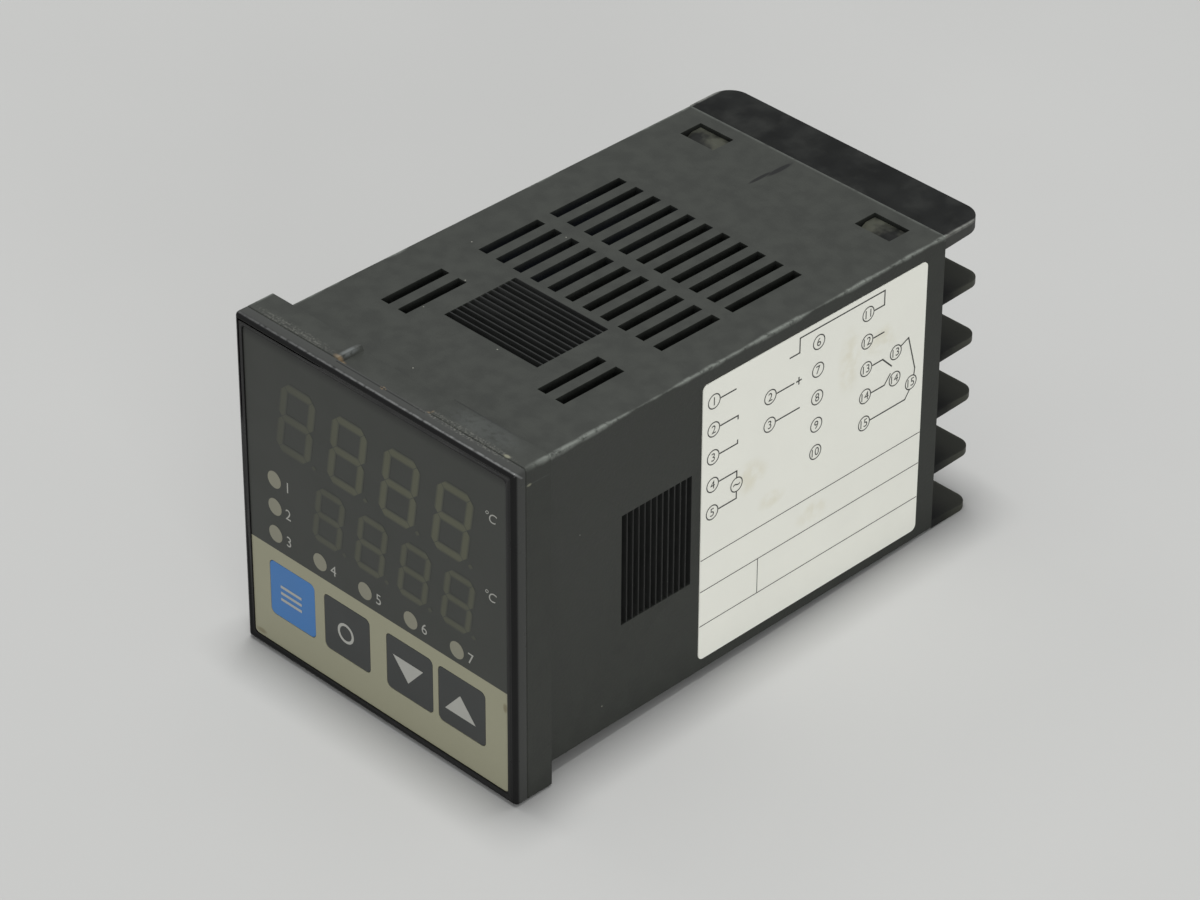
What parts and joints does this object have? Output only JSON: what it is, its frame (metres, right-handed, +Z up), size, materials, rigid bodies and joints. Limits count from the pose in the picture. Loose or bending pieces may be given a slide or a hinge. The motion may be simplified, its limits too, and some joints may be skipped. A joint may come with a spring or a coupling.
{
  "type": "temperature controller",
  "caption": "Square panel-mounted temperature controller: bezel with digit displays, indicator lamps and press keys, vented deep case, side label and finned screw-terminal block at the back.",
  "frame": {"origin": "centre of the panel plane, where the back of the bezel flange meets the panel", "axes": "+X to the right seen from the front, +Y back through the panel, +Z up"},
  "size_m": [0.048, 0.0829, 0.048],
  "materials": {
    "case_plastic": "fine moulded grain",
    "frame_plastic": "smooth moulded",
    "overlay_film": "semi-matt printed film",
    "blue_key": "semi-matt printed",
    "grey_key": "semi-matt printed",
    "label_paper": "printed",
    "block_plastic": "smooth moulded",
    "terminal_brass": "tinned",
    "plated_steel": "zinc plated",
    "display_epoxy": "matt",
    "segment_epoxy": "milky",
    "lens_plastic": "milky",
    "lamp_epoxy": "clear",
    "ferrite": "ground",
    "bobbin_nylon": "moulded",
    "winding_tape": "tape",
    "can_sleeve": "shrink sleeve",
    "relay_case": "moulded",
    "varistor_coat": "dipped",
    "chip_epoxy": "moulded",
    "board_laminate": "solder mask",
    "header_nylon": "moulded",
    "switch_nylon": "moulded",
    "stem_nylon": "moulded"
  },
  "bodies": {
    "housing": {"alarm_relay": "relay_case", "bridge_rectifier": "chip_epoxy", "case": "case_plastic", "cpu_board": "board_laminate", "crystal": "plated_steel", "display_board": "board_laminate", "down_switch": "switch_nylon", "front_film": "overlay_film", "front_frame": "frame_plastic", "front_header_cpu": "header_nylon", "front_header_power": "header_nylon", "indicator_leds": "lamp_epoxy", "indicator_lenses": "lens_plastic", "input_amplifier": "chip_epoxy", "input_capacitor": "can_sleeve", "line_choke": "ferrite", "line_fuse": "chip_epoxy", "memory_chip": "chip_epoxy", "microcontroller": "chip_epoxy", "optocoupler": "chip_epoxy", "output_capacitor": "can_sleeve", "output_relay": "relay_case", "power_board": "board_laminate", "power_controller": "chip_epoxy", "pv_display": "display_epoxy", "pv_segments": "segment_epoxy", "rear_board": "board_laminate", "rear_header_cpu": "header_nylon", "rear_header_power": "header_nylon", "select_switch": "switch_nylon", "set_switch": "switch_nylon", "side_label": "label_paper", "surge_varistor": "varistor_coat", "sv_display": "display_epoxy", "sv_segments": "segment_epoxy", "terminal_block": "block_plastic", "terminal_plates": "terminal_brass", "terminal_screws": "plated_steel", "terminal_washers": "plated_steel", "transformer_bobbin": "bobbin_nylon", "transformer_core": "ferrite", "transformer_winding": "winding_tape", "up_switch": "switch_nylon"},
    "set_button": {"set_key": "blue_key", "set_switch_stem": "stem_nylon"},
    "select_button": {"select_key": "grey_key", "select_switch_stem": "stem_nylon"},
    "down_button": {"down_key": "grey_key", "down_switch_stem": "stem_nylon"},
    "up_button": {"up_key": "grey_key", "up_switch_stem": "stem_nylon"}
  },
  "joints": [
    {"name": "set_press", "type": "slide", "parent": "housing", "child": "set_button", "axis": [0, 1, 0], "range_m": [0, 0.0004], "stiffness_N_per_m": 4000},
    {"name": "select_press", "type": "slide", "parent": "housing", "child": "select_button", "axis": [0, 1, 0], "range_m": [0, 0.0004], "stiffness_N_per_m": 4000},
    {"name": "down_press", "type": "slide", "parent": "housing", "child": "down_button", "axis": [0, 1, 0], "range_m": [0, 0.0004], "stiffness_N_per_m": 4000},
    {"name": "up_press", "type": "slide", "parent": "housing", "child": "up_button", "axis": [0, 1, 0], "range_m": [0, 0.0004], "stiffness_N_per_m": 4000}
  ]
}
